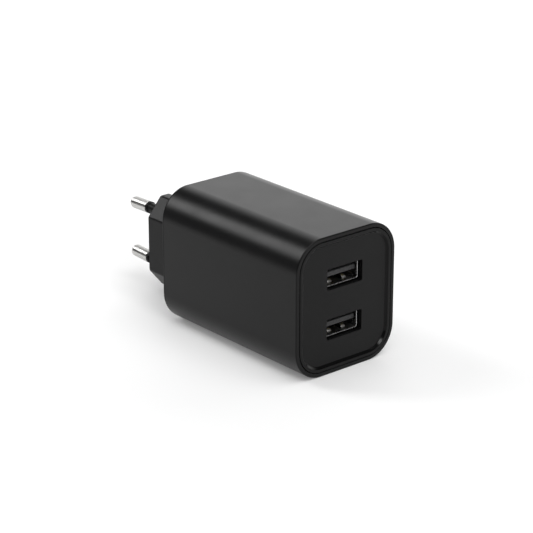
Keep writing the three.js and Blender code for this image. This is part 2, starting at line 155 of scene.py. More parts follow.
def filleted(corners, radius, steps=5):
    """A polygon with every corner rounded to a radius."""
    points = []
    count = len(corners)
    for index, corner in enumerate(corners):
        here = Vector(corner)
        to_last = (Vector(corners[index - 1]) - here).normalized()
        to_next = (Vector(corners[(index + 1) % count]) - here).normalized()
        half = to_last.angle(to_next) / 2
        centre = here + (to_last + to_next).normalized() * (radius / math.sin(half))
        first = here + to_last * (radius / math.tan(half)) - centre
        last = here + to_next * (radius / math.tan(half)) - centre
        sweep = first.angle_signed(last)
        for step in range(steps + 1):
            turned = first.copy()
            turned.rotate(Matrix.Rotation(-sweep * step / steps, 2))
            points.append(tuple(centre + turned))
    return points


def plug_outline(grow):
    """The neck's elongated octagon, grown or shrunk all round."""
    radius = 1.5
    x = PLUG_WIDTH / 2 + grow
    z = PLUG_HEIGHT / 2 + grow
    in_x = x - PLUG_CHAMFER_X - grow * 0.4
    in_z = z - PLUG_CHAMFER_Z - grow * 0.4
    corners = [(x, in_z), (in_x, z), (-in_x, z), (-x, in_z)]
    corners += [(-a, -b) for a, b in corners]
    return filleted(corners, max(0.2, radius + grow))


# ---- meshes ----------------------------------------------------------------------------------


class Skin:
    """A closed surface made of loops joined by bands, with flat caps. Sizes in millimetres."""

    def __init__(self):
        self.mesh = bmesh.new()

    def loop(self, outline, y, x=0.0, z=0.0):
        """The vertices of an outline at a depth y, moved by x and z."""
        return [self.mesh.verts.new(((x + a) * MM, y * MM, (z + b) * MM)) for a, b in outline]

    def band(self, first, second, material=0):
        """Joins two loops that have the same number of vertices."""
        count = len(first)
        for index in range(count):
            after = (index + 1) % count
            face = self.mesh.faces.new((first[index], first[after], second[after], second[index]))
            face.material_index = material

    def loft(self, stations, material=0, x=0.0, z=0.0, start=None):
        """Joins (outline, y) stations, from an existing loop if there is one; gives the end loops."""
        loops = [start] if start else []
        loops += [self.loop(outline, y, x, z) for outline, y in stations]
        for first, second in zip(loops, loops[1:]):
            self.band(first, second, material)
        return loops[0], loops[-1]

    def cap(self, *loops, material=0):
        """Fills the first loop, leaving the others as holes."""
        edges = []
        for loop in loops:
            for index, vertex in enumerate(loop):
                pair = (vertex, loop[(index + 1) % len(loop)])
                edges.append(self.mesh.edges.get(pair) or self.mesh.edges.new(pair))
        made = bmesh.ops.triangle_fill(
            self.mesh, edges=edges, use_beauty=True, use_dissolve=False, normal=(0, 1, 0)
        )
        for part in made["geom"]:
            if isinstance(part, bmesh.types.BMFace):
                part.material_index = material

    def turn(self, profile, steps=48):
        """Bands round the Y axis from (radius, y, material of the band that starts there)."""
        loops = [self.loop(circle(radius, steps), y) for radius, y, _ in profile]
        for first, second, (_, _, material) in zip(loops, loops[1:], profile):
            self.band(first, second, material)
        return loops[0], loops[-1]

    def sweep(self, path, sections):
        """A bent strip along (y, z) points, with an (across, through) section at each of them."""
        loops = []
        for index, (y, z) in enumerate(path):
            run = Vector(path[min(index + 1, len(path) - 1)]) - Vector(path[max(index - 1, 0)])
            run.normalize()
            loops.append([
                self.mesh.verts.new(Vector((a, y - b * run.y, z + b * run.x)) * MM)
                for a, b in sections[index]
            ])
        for first, second in zip(loops, loops[1:]):
            self.band(first, second)
        self.mesh.faces.new(loops[0])
        self.mesh.faces.new(loops[-1])

    def done(self, name, materials, matrix=None):
        """Closes the seams and gives the finished object."""
        bmesh.ops.remove_doubles(self.mesh, verts=self.mesh.verts, dist=1e-7)
        if matrix is not None:
            self.mesh.transform(matrix)
        bmesh.ops.recalc_face_normals(self.mesh, faces=self.mesh.faces)
        data = bpy.data.meshes.new(name)
        self.mesh.to_mesh(data)
        self.mesh.free()
        return add_object(name, data, materials)


def add_object(name, data, materials):
    """An object in the scene with smooth faces and sharp edges where the surface turns."""
    for material in materials:
        data.materials.append(material)
    data.shade_smooth()
    data.set_sharp_from_angle(angle=math.radians(32))
    piece = bpy.data.objects.new(name, data)
    bpy.context.scene.collection.objects.link(piece)
    normals = piece.modifiers.new("even_shading", "WEIGHTED_NORMAL")
    normals.keep_sharp = True
    return piece


def hand_over(piece, body, node):
    """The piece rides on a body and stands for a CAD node."""
    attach(piece, body)
    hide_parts(node)


def quarter(radius, steps):
    """(inset, depth) pairs round a quarter circle that turns an end face into a side."""
    pairs = []
    for step in range(steps + 1):
        angle = math.pi / 2 * step / steps
        pairs.append((radius * (1 - math.sin(angle)), radius * (1 - math.cos(angle))))
    return pairs


# ---- materials -------------------------------------------------------------------------------


class Shader:
    """A Principled material with small helpers for procedural detail."""

    def __init__(self, name, colour, roughness, metallic=0.0, ior=1.5):
        self.material = bpy.data.materials.new(name)
        self.material.use_nodes = True
        self.nodes = self.material.node_tree.nodes
        self.links = self.material.node_tree.links
        self.base = self.nodes["Principled BSDF"]
        self.base.inputs["Base Color"].default_value = (*colour, 1)
        self.base.inputs["Roughness"].default_value = roughness
        self.base.inputs["Metallic"].default_value = metallic
        self.base.inputs["IOR"].default_value = ior
        self.colour = colour
        self.roughness = roughness
        self.place = self.nodes.new("ShaderNodeTexCoord").outputs["Object"]
        self.normal = None

    def noise(self, size_mm, detail=3.0, stretch=(1, 1, 1)):
        """Noise with features of about this size; stretch scales its coordinates per axis."""
        mapping = self.nodes.new("ShaderNodeMapping")
        mapping.inputs["Scale"].default_value = stretch
        self.links.new(self.place, mapping.inputs["Vector"])
        noise = self.nodes.new("ShaderNodeTexNoise")
        noise.inputs["Scale"].default_value = 1 / (size_mm * MM)
        noise.inputs["Detail"].default_value = detail
        self.links.new(mapping.outputs["Vector"], noise.inputs["Vector"])
        return noise.outputs["Fac"]

    def spread(self, value, low, high):
        """Maps the middle of a 0 to 1 value onto low to high."""
        node = self.nodes.new("ShaderNodeMapRange")
        node.inputs["From Min"].default_value = 0.3
        node.inputs["From Max"].default_value = 0.7
        node.inputs["To Min"].default_value = low
        node.inputs["To Max"].default_value = high
        self.links.new(value, node.inputs["Value"])
        return node.outputs["Result"]

    def vary_roughness(self, size_mm, amount):
        """Soft patches that are duller or glossier than the rest."""
        value = self.spread(self.noise(size_mm), self.roughness - amount, self.roughness + amount)
        self.links.new(value, self.base.inputs["Roughness"])

    def vary_colour(self, size_mm, share):
        """Soft patches that are darker or lighter by a share of the colour."""
        mix = self.nodes.new("ShaderNodeMix")
        mix.data_type = "RGBA"
        mix.inputs["A"].default_value = (*[c * (1 - share) for c in self.colour], 1)
        mix.inputs["B"].default_value = (*[min(1, c * (1 + share)) for c in self.colour], 1)
        self.links.new(self.spread(self.noise(size_mm), 0, 1), mix.inputs["Factor"])
        self.links.new(mix.outputs["Result"], self.base.inputs["Base Color"])

    def bump(self, height, depth_mm):
        """Adds relief on top of the relief that is there already."""
        node = self.nodes.new("ShaderNodeBump")
        node.inputs["Distance"].default_value = depth_mm * MM
        self.links.new(height, node.inputs["Height"])
        if self.normal is not None:
            self.links.new(self.normal, node.inputs["Normal"])
        self.normal = node.outputs["Normal"]
        self.links.new(self.normal, self.base.inputs["Normal"])

    def ridges(self, pitch_mm, axis):
        """Even ridges across an axis, 0 to 1."""
        wave = self.nodes.new("ShaderNodeTexWave")
        wave.bands_direction = axis
        wave.inputs["Scale"].default_value = 2 * math.pi / (20 * pitch_mm * MM)
        self.links.new(self.place, wave.inputs["Vector"])
        return wave.outputs["Fac"]

    def grain(self, size_mm, depth_mm, stretch=(1, 1, 1)):
        self.bump(self.noise(size_mm, 2.0, stretch), depth_mm)


def moulded(name, colour, roughness, grain_mm=0.16, depth_mm=0.006, ior=1.265):
    """Moulded plastic with a fine grain."""
    patch_mm = 14
    shader = Shader(name, colour, roughness, ior=ior)
    shader.vary_colour(patch_mm, 0.08)
    shader.vary_roughness(patch_mm * 0.6, 0.02)
    shader.grain(grain_mm, depth_mm)
    return shader.material


def metal(name, colour, roughness, stretch=(1, 1, 1)):
    """Plain or brushed metal; a stretch below 1 draws the grain out along that axis."""
    shader = Shader(name, colour, roughness, metallic=1.0)
    shader.vary_colour(3, 0.04)
    shader.vary_roughness(2, roughness * 0.25)
    shader.grain(0.4, 0.002, stretch)
    return shader.material


def turned_metal(name, colour, roughness):
    """Metal turned on a lathe about its Y axis; the fine marks smear reflections along the axis."""
    shader = Shader(name, colour, roughness, metallic=1.0)
    shader.vary_colour(3, 0.012)
    shader.vary_roughness(2, roughness * 0.02)
    tangent = shader.nodes.new("ShaderNodeTangent")
    tangent.direction_type = "RADIAL"
    tangent.axis = "Y"
    shader.links.new(tangent.outputs["Tangent"], shader.base.inputs["Tangent"])
    shader.base.inputs["Anisotropic"].default_value = 1.0
    shader.base.inputs["Anisotropic Rotation"].default_value = 0.25
    return shader.material


case_plastic = moulded("case_plastic", (0.0035, 0.0035, 0.0036), 0.31)
panel_plastic = moulded("panel_plastic", (0.003, 0.003, 0.0031), 0.38)
panel_gloss = moulded("panel_gloss", (0.003, 0.003, 0.0031), 0.14, depth_mm=0.001, ior=1.22)
plug_plastic = moulded("plug_plastic", (0.006, 0.006, 0.0062), 0.36, ior=1.23)
sleeve_plastic = moulded("sleeve_plastic", (0.004, 0.004, 0.004), 0.42, grain_mm=0.1, ior=1.2)
tongue_plastic = moulded("tongue_plastic", (0.036, 0.036, 0.037), 0.45, ior=1.4)
shaded_edge = moulded("shaded_edge", (0.003, 0.003, 0.0031), 0.5, ior=1.15)
pin_metal = turned_metal("pin_metal", (0.6, 0.595, 0.58), 0.32)
sheet_steel = metal("sheet_steel", (0.42, 0.42, 0.42), 0.3, stretch=(1, 0.1, 1))
# The fingers are the shell's own steel. This copy is lighter than sheet_steel, a painted highlight that
# brightens the fingers' glints.
finger_steel_painted_glint = metal("finger_steel_painted_glint", (0.64, 0.63, 0.6), 0.34, stretch=(0.1, 1, 0.1))
# Painted shade: a near-black stand-in for the shell's steel where it lies in shadow, on the shell's inner
# wall and on the fingers' cut sides.
painted_shade_sheet = moulded("painted_shade_sheet", (0.006, 0.006, 0.006), 0.5, ior=1.12)
contact_metal = metal("contact_metal", (0.85, 0.68, 0.33), 0.25)

# ---- housing ---------------------------------------------------------------------------------


def housing_shell():
    """The case: rim, sides, rounded rear edge, the stepped hole for the neck and the cavity."""
    skin = Skin()
    edge = 0.35
    inner_edge = 0.07
    rim = body_outline(RIM_WIDTH)
    stations = [(rim, LEDGE), (rim, FRONT + inner_edge), (body_outline(RIM_WIDTH - inner_edge), FRONT)]
    stations += [(body_outline(i), FRONT + d) for i, d in quarter(edge, 5)]
    rear = [(body_outline(i), REAR - d) for i, d in quarter(REAR_EDGE_RADIUS, 10)[::-1]]
    first, side_end = skin.loft(stations + rear[:1], z=MIDDLE)
    _, back = skin.loft(rear[1:], 1, z=MIDDLE, start=side_end)
    chamfered = plug_outline(0.35)
    wide = plug_outline(0.15)
    narrow = plug_outline(-1.2)
    hole, inside = skin.loft([
        (chamfered, REAR), (wide, REAR - 0.2), (wide, HOLE_STEP),
        (narrow, HOLE_STEP), (narrow, REAR - WALL),
    ], z=PLUG_MIDDLE)
    skin.cap(back, hole)
    cavity = body_outline(WALL)
    mouth, bottom = skin.loft([(cavity, LEDGE), (cavity, REAR - WALL)], z=MIDDLE)
    skin.band(first, mouth)
    skin.cap(bottom, inside)
    piece = skin.done("housing_shell_skin", [case_plastic, shaded_edge])
    hand_over(piece, "charger", "housing_shell")


housing_shell()

# ---- front panel -----------------------------------------------------------------------------

PORTS = ("upper", "lower")


def port_height(port):
    """The height of a port's middle, which is the middle of its shell."""
    low, high = box_mm(f"usb_{port}_shell")
    return (low.z + high.z) / 2


def port_outline(grow):
    """An opening for a USB plug, grown all round."""
    return rounded_rectangle(PORT_WIDTH + 2 * grow, PORT_HEIGHT + 2 * grow, PORT_CORNER + grow, 6)


def front_panel():
    """The panel: outer ring, bevel, recessed face with two openings, and the skirt behind it."""
    skin = Skin()
    edge = 0.08
    ring_inner = PANEL_INSET + RING_WIDTH
    bevel_inner = ring_inner + BEVEL_WIDTH
    side = [(PANEL_INSET, PANEL_BACK)]
    side += [(PANEL_INSET + i, FRONT + d) for i, d in quarter(edge, 4)[::-1]]
    ring = [(ring_inner - 0.08, FRONT), (ring_inner + 0.06, FRONT + 0.03)]
    slope = [(bevel_inner - 0.2, PANEL_FACE - 0.08), (bevel_inner - 0.07, PANEL_FACE - 0.02)]
    outside = WALL + 0.3
    inside = outside + 1.2
    skirt = [(outside, PANEL_BACK), (outside, SKIRT_END), (inside, SKIRT_END), (inside, PANEL_BACK)]
    outer, ring_end = skin.loft([(body_outline(i), y) for i, y in side + ring], z=MIDDLE)
    _, slope_end = skin.loft([(body_outline(i), y) for i, y in slope], 1, z=MIDDLE, start=ring_end)
    _, face = skin.loft([(body_outline(bevel_inner), PANEL_FACE)], 1, z=MIDDLE, start=slope_end)
    _, back = skin.loft([(body_outline(i), y) for i, y in skirt], z=MIDDLE, start=outer)
    mouths = []
    exits = []
    lip = 0.12
    for port in PORTS:
        mouth, end = skin.loft([
            (port_outline(lip), PANEL_FACE), (port_outline(lip * 0.3), PANEL_FACE + lip * 0.3),
            (port_outline(0), PANEL_FACE + lip), (port_outline(0), PANEL_BACK),
        ], z=port_height(port))
        mouths.append(mouth)
        exits.append(end)
    skin.cap(face, *mouths)
    skin.cap(back, *exits)
    piece = skin.done("front_panel_skin", [panel_plastic, panel_gloss])
    hand_over(piece, "charger", "front_panel")


front_panel()

# ---- plug ------------------------------------------------------------------------------------


def pin_matrix(side):
    """The frame of a pin: origin in the plug face, +Y along the pin, sides +1 upper, -1 lower."""
    tilt = math.atan((PIN_SPACING_FACE - PIN_SPACING_TIP) / 2 / PIN_LENGTH)
    height = PLUG_MIDDLE + side * PIN_SPACING_FACE / 2
    base = Matrix.Translation(Vector((0, PLUG_FACE, height)) * MM)
    return base @ Matrix.Rotation(-side * tilt, 4, "X")


def plug_body():
    """The neck with its narrower root, a bore for each pin and the hollow behind them."""
    skin = Skin()
    edge = 0.45
    root = REAR - WALL - 2.2
    step = REAR - 1.45
    narrow = plug_outline(-1.35)
    hollow_outline = plug_outline(-2.4)
    stations = [(narrow, root), (narrow, step), (plug_outline(0), step)]
    rim = [(plug_outline(-i), PLUG_FACE - d) for i, d in quarter(edge, 5)[::-1]]
    first, neck_end = skin.loft(stations + rim[:1], z=PLUG_MIDDLE)
    _, face = skin.loft(rim[1:], 1, z=PLUG_MIDDLE, start=neck_end)
    bore = circle(SLEEVE_RADIUS + 0.1)
    bore_mouth = circle(SLEEVE_RADIUS + 0.35)
    holes = []
    for side in (1, -1):
        mouth, floor = skin.loft([
            (bore_mouth, PLUG_FACE), (bore, PLUG_FACE - 0.2), (bore, PLUG_FACE - 1.5),
        ], z=PLUG_MIDDLE + side * PIN_SPACING_FACE / 2)
        skin.cap(floor)
        holes.append(mouth)
    skin.cap(face, *holes)
    hollow_stations = [(hollow_outline, root), (hollow_outline, PLUG_FACE - 8)]
    _, hollow = skin.loft(hollow_stations, z=PLUG_MIDDLE, start=first)
    skin.cap(hollow)
    piece = skin.done("plug_body_skin", [plug_plastic, shaded_edge])
    hand_over(piece, "charger", "plug_body")


plug_body()


def turned(name, profile, materials, matrix, steps=48):
    """A turned piece from (radius, y, material) rows; flat ends unless the profile is a closed ring."""
    skin = Skin()
    first, last = skin.turn(profile, steps)
    if profile[0] != profile[-1]:
        skin.cap(first, material=profile[0][2])
        skin.cap(last, material=profile[-1][2])
    return skin.done(name, materials, matrix)


def pin(name, side):
    """A turned pin: a thin tail inside the sleeve, a shoulder and a domed tip with a small flat."""
    flat = 0.3
    round_radius = PIN_RADIUS - flat
    dome = PIN_LENGTH - 0.03 - round_radius
    shoulder = SLEEVE_LENGTH + 0.05
    ease = 0.12
    profile = [(PIN_TAIL_RADIUS, PIN_TAIL, 0), (PIN_TAIL_RADIUS, shoulder, 0)]
    profile += [(PIN_RADIUS - ease, shoulder, 0), (PIN_RADIUS, shoulder + ease, 0)]
    profile += [(flat + a, dome + b, 0) for a, b in arc(0, 0, round_radius, 0, 90, 16)]
    piece = turned(f"{name}_pin_metal", profile, [pin_metal], pin_matrix(side), 64)
    hand_over(piece, "charger", f"{name}_pin")


def pin_sleeve(name, side):
    """The insulating tube round a pin, with a collar as thick as the pin at its outer end."""
    collar = SLEEVE_LENGTH - SLEEVE_COLLAR
    ease = 0.1
    outline = [
        (SLEEVE_BORE, SLEEVE_TAIL), (SLEEVE_RADIUS, SLEEVE_TAIL),
        (SLEEVE_RADIUS, collar - 0.25), (SLEEVE_RADIUS + 0.07, collar - 0.08),
        (PIN_RADIUS - ease, collar), (PIN_RADIUS, collar + ease),
        (PIN_RADIUS, SLEEVE_LENGTH - ease), (PIN_RADIUS - ease, SLEEVE_LENGTH),
        (SLEEVE_BORE, SLEEVE_LENGTH), (SLEEVE_BORE, SLEEVE_TAIL),
    ]
    profile = [(radius, y, 0) for radius, y in outline]
    piece = turned(f"{name}_sleeve_moulding", profile, [sleeve_plastic], pin_matrix(side), 64)
    hand_over(piece, "charger", f"{name}_pin_sleeve")


for name, side in (("live", 1), ("neutral", -1)):
    pin(name, side)
    pin_sleeve(name, side)

# ---- USB-A receptacles -----------------------------------------------------------------------


def strip_section(width, thickness):
    """A sheet strip's cross-section with worn corners, as (across, through) pairs."""
    return rounded_rectangle(width, thickness, thickness * 0.3, 3)


def strip(name, path, sections, materials, matrix, sides=0):
    """A bent strip of sheet; sides is the index of the material on its two cut sides."""
    skin = Skin()
    skin.sweep(path, sections)
    for face in skin.mesh.faces:
        face.normal_update()
        face.material_index = sides if abs(face.normal.x) > 0.6 else 0
    return skin.done(name, materials, matrix)


def smooth_line(points, steps=6):
    """A Catmull-Rom curve through (y, z) points."""
    line = []
    for index in range(len(points) - 1):
        p0 = Vector(points[max(index - 1, 0)])
        p1 = Vector(points[index])
        p2 = Vector(points[index + 1])
        p3 = Vector(points[min(index + 2, len(points) - 1)])
        for step in range(steps):
            t = step / steps
            point = 0.5 * (2 * p1 + (p2 - p0) * t + (2 * p0 - 5 * p1 + 4 * p2 - p3) * t ** 2
                           + (3 * p1 - p0 - 3 * p2 + p3) * t ** 3)
            line.append(tuple(point))
    return line + [tuple(points[-1])]


def carved(piece, *cutters):
    """Cuts pieces out of a piece and drops the cutters."""
    for cutter in cutters:
        modifier = piece.modifiers.new("cut", "BOOLEAN")
        modifier.operation = "DIFFERENCE"
        modifier.solver = "EXACT"
        modifier.object = cutter
    graph = bpy.context.evaluated_depsgraph_get()
    data = bpy.data.meshes.new_from_object(piece.evaluated_get(graph))
    materials = list(piece.data.materials)
    name = piece.name
    for item in (piece, *cutters):
        bpy.data.objects.remove(item)
    data.materials.clear()
    return add_object(name, data, materials)


def merged(name, pieces, materials):
    """One object from several pieces of the same part."""
    mesh = bmesh.new()
    for piece in pieces:
        first = len(mesh.faces)
        mesh.from_mesh(piece.data)
        mesh.faces.ensure_lookup_table()
        for face in mesh.faces[first:]:
            face.material_index = materials.index(piece.data.materials[face.material_index])
    for piece in pieces:
        bpy.data.objects.remove(piece)
    data = bpy.data.meshes.new(name)
    mesh.to_mesh(data)
    mesh.free()
    return add_object(name, data, materials)


def tube_station(shrink, y):
    """The shell's outline at a depth, shrunk all round."""
    outline = rounded_rectangle(USB_WIDTH - 2 * shrink, USB_HEIGHT - 2 * shrink, USB_CORNER - shrink, 6)
    return outline, y


def usb_tube(port, z):
    """The shell without its fingers: a tube of sheet with a worn front edge; its inside is painted
    near-black as shade.
    """
    skin = Skin()
    edge = USB_SHEET / 2
    worn = ((0, 1), (0.12, 0.5), (0.5, 0.12), (1, 0), (1.5, 0.12), (1.88, 0.5), (2, 1))
    stations = [tube_station(edge * inward, USB_FRONT + edge * back) for inward, back in worn]
    rear, rolled = skin.loft([tube_station(0, USB_REAR), *stations[:-1]], z=z)
    # The inner wall gets the painted shade material.
    _, end = skin.loft([stations[-1], tube_station(USB_SHEET, USB_REAR)], 1, z=z, start=rolled)
    skin.band(end, rear)
    return skin.done(f"usb_{port}_shell_tube", [sheet_steel, painted_shade_sheet])


def finger_window(x, z):
    """The block that cuts a finger's window out of the shell."""
    skin = Skin()
    hole = rounded_rectangle(WINDOW_WIDTH, 4 * USB_SHEET, 0.05, 2)
    first, last = skin.loft([(hole, WINDOW_FRONT), (hole, WINDOW_REAR)], x=x, z=z)
    skin.cap(first)
    skin.cap(last)
    return skin.done("window", [sheet_steel])


def finger(x, z, inward, reach):
    """A spring finger rooted behind its window; inward is +1 or -1, reach is how far it bulges."""
    # From the root forward, as (distance behind the front, rise off the shell's wall).
    path = smooth_line([(FRONT + y, z + inward * lift) for y, lift in (
        (9.9, 0), (8.5, 0.03), (7.3, reach * 0.45), (6.2, reach * 0.9), (5.3, reach),
        (4.75, reach * 0.85), (4.4, reach * 0.5), (4.25, reach * 0.1),
    )])
    widths = [FINGER_WIDTH - FINGER_TAPER * min(1, i / len(path) * 1.2) for i in range(len(path))]
    sections = [strip_section(width, USB_SHEET * 0.9) for width in widths]
    place = Matrix.Translation((x * MM, 0, 0))
    # The finger's two cut sides get the painted shade material, not steel.
    return strip("finger", path, sections, [finger_steel_painted_glint, painted_shade_sheet], place, 1)


def usb_shell(port, z):
    """The receptacle's shell with two fingers in its floor and two shallower ones in its roof."""
    sheet_middle = (USB_HEIGHT - USB_SHEET) / 2
    windows = []
    fingers = []
    for face, reach in ((-1, 0.85), (1, 0.3)):
        for x in FINGER_X:
            height = z + face * sheet_middle
            windows.append(finger_window(x, height))
            fingers.append(finger(x, height, -face, reach))
    tube = carved(usb_tube(port, z), *windows)
    piece = merged(f"usb_{port}_shell_sheet", [tube, *fingers], [sheet_steel, painted_shade_sheet, finger_steel_painted_glint])
    hand_over(piece, "charger", f"usb_{port}_shell")


def tongue_section(shrink=0.0, groove=0.28):
    """The blade's cross-section: a groove over each contact and eased corners."""
    half = TONGUE_WIDTH / 2 - shrink
    top = TONGUE_TOP - shrink
    under = TONGUE_UNDER + shrink
    ease = 0.15
    points = [(-half, top - ease), (-half, under + ease), (-half + ease, under)]
    mouth = 0.62
    floor = 0.58
    for x in CONTACT_X:
        points += [(x - mouth, under), (x - floor, under + groove)]
        points += [(x + floor, under + groove), (x + mouth, under)]
    points += [(half - ease, under), (half, under + ease), (half, top - ease), (half - ease, top)]
    return points + [(-half + ease, top)]


def usb_tongue(port, z):
    """The plastic tongue: a blade that is grooved behind its lip, on a block at the rear."""
    flat = 0.001        # as good as no groove, so that the outlines keep the same points
    lip = TONGUE_FRONT + 0.9
    blade = Skin()
    first, last = blade.loft([
        (tongue_section(0.12, flat), TONGUE_FRONT), (tongue_section(0.04, flat), TONGUE_FRONT + 0.06),
        (tongue_section(0, flat), TONGUE_FRONT + 0.18), (tongue_section(0, flat), lip),
        (tongue_section(), lip + 0.02), (tongue_section(), ROOT_FRONT + 0.4),
    ], z=z)
    blade.cap(first)
    blade.cap(last)
    root = Skin()
    section = rounded_rectangle(12.0, 4.6, 0.35, 4)
    eased = rounded_rectangle(11.8, 4.4, 0.25, 4)
    stations = [(eased, ROOT_FRONT), (section, ROOT_FRONT + 0.12), (section, ROOT_REAR)]
    first, last = root.loft(stations, z=z)
    root.cap(first)
    root.cap(last)
    parts = [blade.done("blade", [tongue_plastic]), root.done("root", [tongue_plastic])]
    piece = merged(f"usb_{port}_tongue_moulding", parts, [tongue_plastic])
    hand_over(piece, "charger", f"usb_{port}_tongue")


def usb_contacts(port, z):
    """Four leaf springs under the tongue, which bow down towards the cable's plug."""
    gap = 0.3
    rest = z + TONGUE_UNDER - gap - 0.125
    # From the root forward, as (distance behind the front, rise above the root).
    path = smooth_line([(FRONT + y, rest + rise) for y, rise in (
        (13.0, 0), (11.9, 0), (10.6, -0.01), (8.6, -0.19), (6.8, -0.38), (6.1, -0.49), (5.5, -0.4),
        (4.65, -0.11),
    )])
    count = len(path)
    widths = [CONTACT_WIDTH - 0.2 * max(0, (step / count - 0.6) / 0.4) for step in range(count)]
    sections = [strip_section(width, CONTACT_THICKNESS) for width in widths]
    for index, x in enumerate(CONTACT_X):
        name = f"usb_{port}_contact_{index + 1}"
        place = Matrix.Translation((x * MM, 0, 0))
        piece = strip(f"{name}_spring", path, sections, [contact_metal], place)
        hand_over(piece, f"usb_{port}_contacts", name)


for port in PORTS:
    usb_shell(port, port_height(port))
    usb_tongue(port, port_height(port))
    usb_contacts(port, port_height(port))

# ---- pieces inside the case ------------------------------------------------------------------


def board_material():
    """Green solder mask with faint copper traces running both ways under it."""
    shader = Shader("board", (0.012, 0.07, 0.03), 0.35)
    mask = shader.spread(shader.noise(2.2, 0.0, (1, 0.2, 1)), 0, 1)
    cross = shader.spread(shader.noise(2.8, 0.0, (0.2, 1, 1)), 0, 1)
    shader.vary_colour(6, 0.25)
    shader.vary_roughness(4, 0.05)
    shader.bump(mask, 0.03)
    shader.bump(cross, 0.03)
    return shader.material


def wound(name, colour, roughness, pitch_mm, depth_mm, axis, metallic=0.0):
    """Turns of wire or tape: ridges of a given pitch across an axis."""
    shader = Shader(name, colour, roughness, metallic=metallic)
    shader.vary_colour(2, 0.12)
    shader.vary_roughness(3, 0.04)
    shader.bump(shader.ridges(pitch_mm, axis), depth_mm)
    return shader.material


def dressed(name, colour, roughness, grain_mm, depth_mm, share=0.1):
    """A plain inner material: mottled colour, uneven gloss and a fine surface grain."""
    shader = Shader(name, colour, roughness)
    shader.vary_colour(grain_mm * 12, share)
    shader.vary_roughness(grain_mm * 8, 0.05)
    shader.grain(grain_mm, depth_mm)
    return shader.material


moulding_black = dressed("moulding_black", (0.012, 0.012, 0.013), 0.5, 0.12, 0.01)
can_sleeve = dressed("can_sleeve", (0.012, 0.016, 0.035), 0.25, 0.8, 0.01)
can_stripe = dressed("can_stripe", (0.42, 0.43, 0.45), 0.3, 0.8, 0.01)
can_top = metal("can_top", (0.7, 0.7, 0.71), 0.3, stretch=(1, 0.15, 1))
rubber_bung = dressed("rubber_bung", (0.01, 0.01, 0.01), 0.7, 0.3, 0.02)
lead_metal = metal("lead_metal", (0.7, 0.69, 0.67), 0.3)
ferrite = dressed("ferrite", (0.045, 0.045, 0.05), 0.62, 0.25, 0.02, 0.2)
copper_wire = wound("copper_wire", (0.5, 0.19, 0.07), 0.3, 0.35, 0.08, "Z", 1.0)
blue_epoxy = dressed("blue_epoxy", (0.02, 0.09, 0.36), 0.2, 0.9, 0.03)
resistor_coat = dressed("resistor_coat", (0.11, 0.2, 0.1), 0.42, 0.3, 0.015)
band_colours = (
    ("brown", (0.09, 0.03, 0.012)), ("black", (0.01, 0.01, 0.01)), ("gold", (0.45, 0.3, 0.06)),
)
band_paint = [dressed(f"band_{name}", colour, 0.4, 0.3, 0.01) for name, colour in band_colours]

# Turns a piece's +Y up.
UPRIGHT = Matrix.Rotation(math.radians(90), 4, "X")
# Turns a strip that runs along Y with its faces up, so that it runs along X with its faces to +Y.
LEG_TURN = Matrix(((0, 1, 0), (0, 0, 1), (1, 0, 0))).to_4x4()


def extent(node):
    """A CAD node's lowest and highest corner and its centre, in millimetres."""
    low, high = box_mm(node)
    return low, high, (low + high) / 2


def capacitor(node):
    """An electrolytic can: shrink sleeve with a polarity stripe, crimp groove, scored metal top."""
    sleeve, stripe, top, bung = range(4)
    low, high, centre = extent(node)
    radius = (high.x - low.x) / 2
    height = high.z - low.z
    groove_start = 1.25
    groove_length = 1.1
    shoulder = 0.6
    profile = [(radius * 0.6, 0.25, bung), (radius * 0.62, 0.05, bung), (radius - 0.45, 0.05, sleeve)]
    profile += [(radius - 0.3, 0, sleeve), (radius - 0.09, 0.09, sleeve), (radius, 0.3, sleeve)]
    for step in range(9):
        dip = 0.4 * math.sin(math.pi * step / 8) ** 2
        profile.append((radius - dip, groove_start + groove_length * step / 8, sleeve))
    bend = arc(radius - shoulder, height - shoulder, shoulder, 0, 90, 5)
    profile += [(across, up, sleeve) for across, up in bend]
    recess = height - 0.14
    profile += [(radius - 0.8, height, top), (radius - 0.85, recess, top)]
    skin = Skin()
    underside, lid = skin.turn(profile)
    skin.cap(underside, material=bung)
    arm = radius * 0.55
    slot = 0.12
    cross = [(slot, slot), (slot, arm), (-slot, arm), (-slot, slot), (-arm, slot), (-arm, -slot)]
    cross += [(-a, -b) for a, b in cross]
    score, score_end = skin.loft([(cross, recess), (cross, recess - 0.12)])
    skin.cap(lid, score, material=top)
    skin.cap(score_end, material=top)
    for face in skin.mesh.faces:
        middle = face.calc_center_median()
        in_stripe = abs(math.atan2(middle.z, middle.x)) < 0.45
        if in_stripe and face.material_index == sleeve and 3 * MM < middle.y < (height - 1) * MM:
            face.material_index = stripe
    matrix = Matrix.Translation(Vector((centre.x, centre.y, low.z)) * MM) @ UPRIGHT
    piece = skin.done(f"{node}_can", [can_sleeve, can_stripe, can_top, rubber_bung], matrix)
    hand_over(piece, "charger", node)


def chip_body(width, length, seat, waist, height):
    """A moulded block with drafted sides and a round dimple in one corner of its top."""
    skin = Skin()
    first, last = skin.loft([
        (rounded_rectangle(width - 0.16, length - 0.16, 0.08, 2), seat),
        (rounded_rectangle(width, length, 0.1, 2), waist),
        (rounded_rectangle(width - 0.16, length - 0.16, 0.08, 2), height - 0.04),
        (rounded_rectangle(width - 0.26, length - 0.26, 0.06, 2), height),
    ])
    rim, floor = skin.loft([(circle(0.28, 16), height), (circle(0.24, 16), height - 0.06)],
                           x=0.7 - width / 2, z=length / 2 - 0.7)
    skin.cap(first)
    skin.cap(last, rim)
    skin.cap(floor)
    return skin.done("body", [moulding_black])


